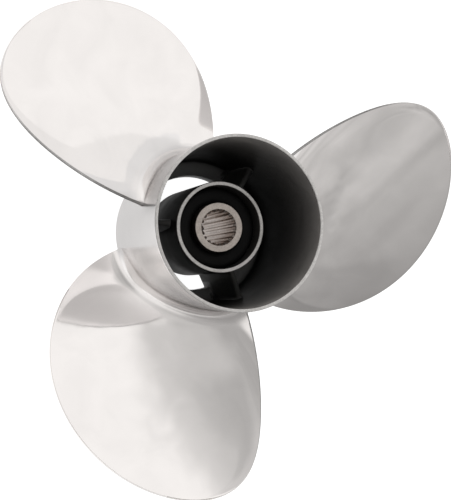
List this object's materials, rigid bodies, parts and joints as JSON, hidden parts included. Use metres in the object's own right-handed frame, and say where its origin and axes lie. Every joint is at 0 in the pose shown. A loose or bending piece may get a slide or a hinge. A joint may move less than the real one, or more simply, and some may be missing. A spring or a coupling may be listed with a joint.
{
  "type": "boat propeller",
  "caption": "Polished stainless boat propeller with cupped blades, an exhaust passage through its hub and a splined sleeve held in rubber.",
  "frame": {"origin": "on the shaft's axis, level with the barrel's forward face, which the propeller stands on", "axes": "+Z along the shaft's axis, pointing aft (away from the engine's gearcase, up as stored); +X through the middle of blade_1"},
  "size_m": [0.3304, 0.3466, 0.127],
  "materials": {
    "polished_steel": "mirror-polished stainless steel with faint hand-polishing waves",
    "dark_passage": "smooth satin black coating on the casting's inner walls, with the hub's end ring machined bright",
    "black_rubber": "moulded black rubber",
    "machined_sleeve": "turned and broached sleeve, slightly brown"
  },
  "bodies": {
    "root": {"outer_barrel": "polished_steel", "forward_ring": "polished_steel", "inner_hub": "dark_passage", "rib_1": "dark_passage", "rib_2": "dark_passage", "rib_3": "dark_passage", "blade_1": "polished_steel", "blade_2": "polished_steel", "blade_3": "polished_steel", "rubber_bushing": "black_rubber", "spline_sleeve": "machined_sleeve"}
  },
  "joints": []
}
